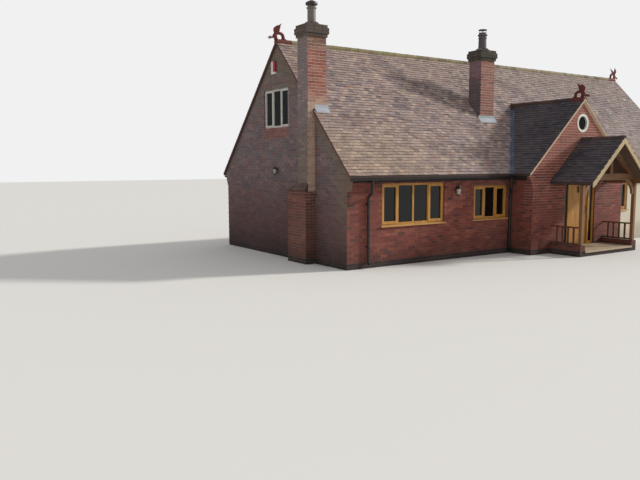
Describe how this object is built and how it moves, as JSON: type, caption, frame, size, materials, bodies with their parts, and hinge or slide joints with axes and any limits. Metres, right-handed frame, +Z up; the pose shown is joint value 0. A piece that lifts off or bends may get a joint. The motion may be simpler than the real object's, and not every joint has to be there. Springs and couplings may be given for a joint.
{
  "type": "detached house",
  "caption": "Detached one-and-a-half-storey brick house, steep tiled roof, gabled front wing with round window, oak porch, hinged front door and brick chimneys.",
  "frame": {"origin": "on the ground, at the middle of the main block's length and depth, on the underside of the ground floor slab", "axes": "+X along the main ridge to the right as seen from the front, the front faces -Y, +Z up"},
  "size_m": [15.92, 8.682, 6.545],
  "materials": {
    "brick": "matt",
    "render": "matt",
    "concrete": "matt",
    "floorboards": "satin",
    "roof_tile": "matt",
    "ridge_tile": "matt",
    "terracotta": "matt",
    "lead": "dull",
    "black_plastic": "satin",
    "black_paint": "satin",
    "flue_pot": "matt",
    "clay_pot": "matt",
    "oak": "satin",
    "grey_frame": "matt",
    "white_ring": "matt",
    "glass": "gloss",
    "black_iron": "satin",
    "step_stone": "matt",
    "pale_timber": "matt",
    "alarm_plastic": "matt"
  },
  "bodies": {
    "house": {"ground_slab": "concrete", "hall_slab": "concrete", "upper_floor": "floorboards", "front_wall_left": "brick", "front_wall_right": "render", "back_wall": "brick", "left_gable_wall": "brick", "right_gable_wall": "render", "wing_left_wall": "brick", "wing_right_wall": "brick", "wing_gable_left": "brick", "wing_gable_right": "brick", "wing_gable_top": "brick", "main_roof_front": "roof_tile", "main_roof_back": "roof_tile", "wing_roof_left": "roof_tile", "wing_roof_right": "roof_tile", "ridge_tiles": "ridge_tile", "lead_work": "lead", "eaves_boards": "black_paint", "gutters": "black_plastic", "downpipes": "black_plastic", "end_chimney": "brick", "chimney_offset_tiles": "roof_tile", "end_chimney_pot": "flue_pot", "front_chimney": "brick", "front_chimney_pot": "clay_pot", "window_frames": "oak", "gable_window_frames": "grey_frame", "round_window_frame": "white_ring", "ground_floor_glass": "glass", "upper_floor_glass": "glass", "window_boards": "oak", "door_frame": "oak", "side_lights": "glass", "porch_base": "brick", "porch_step": "step_stone", "porch_posts": "oak", "porch_plates": "oak", "porch_truss": "oak", "porch_braces": "oak", "porch_roof_left": "roof_tile", "porch_roof_right": "roof_tile", "barge_boards": "pale_timber", "porch_balustrades": "oak", "ridge_finials": "terracotta", "wall_lanterns": "black_iron", "alarm_box": "alarm_plastic"},
    "front_door": {"door_leaf": "oak", "door_pane": "glass", "door_handle": "black_iron"}
  },
  "joints": [
    {"name": "front_door_hinge", "type": "hinge", "parent": "house", "child": "front_door", "pos_m": [-0.2535, -3.797, 0.177], "axis": [0, 0, 1], "range_deg": [0, 100]}
  ]
}
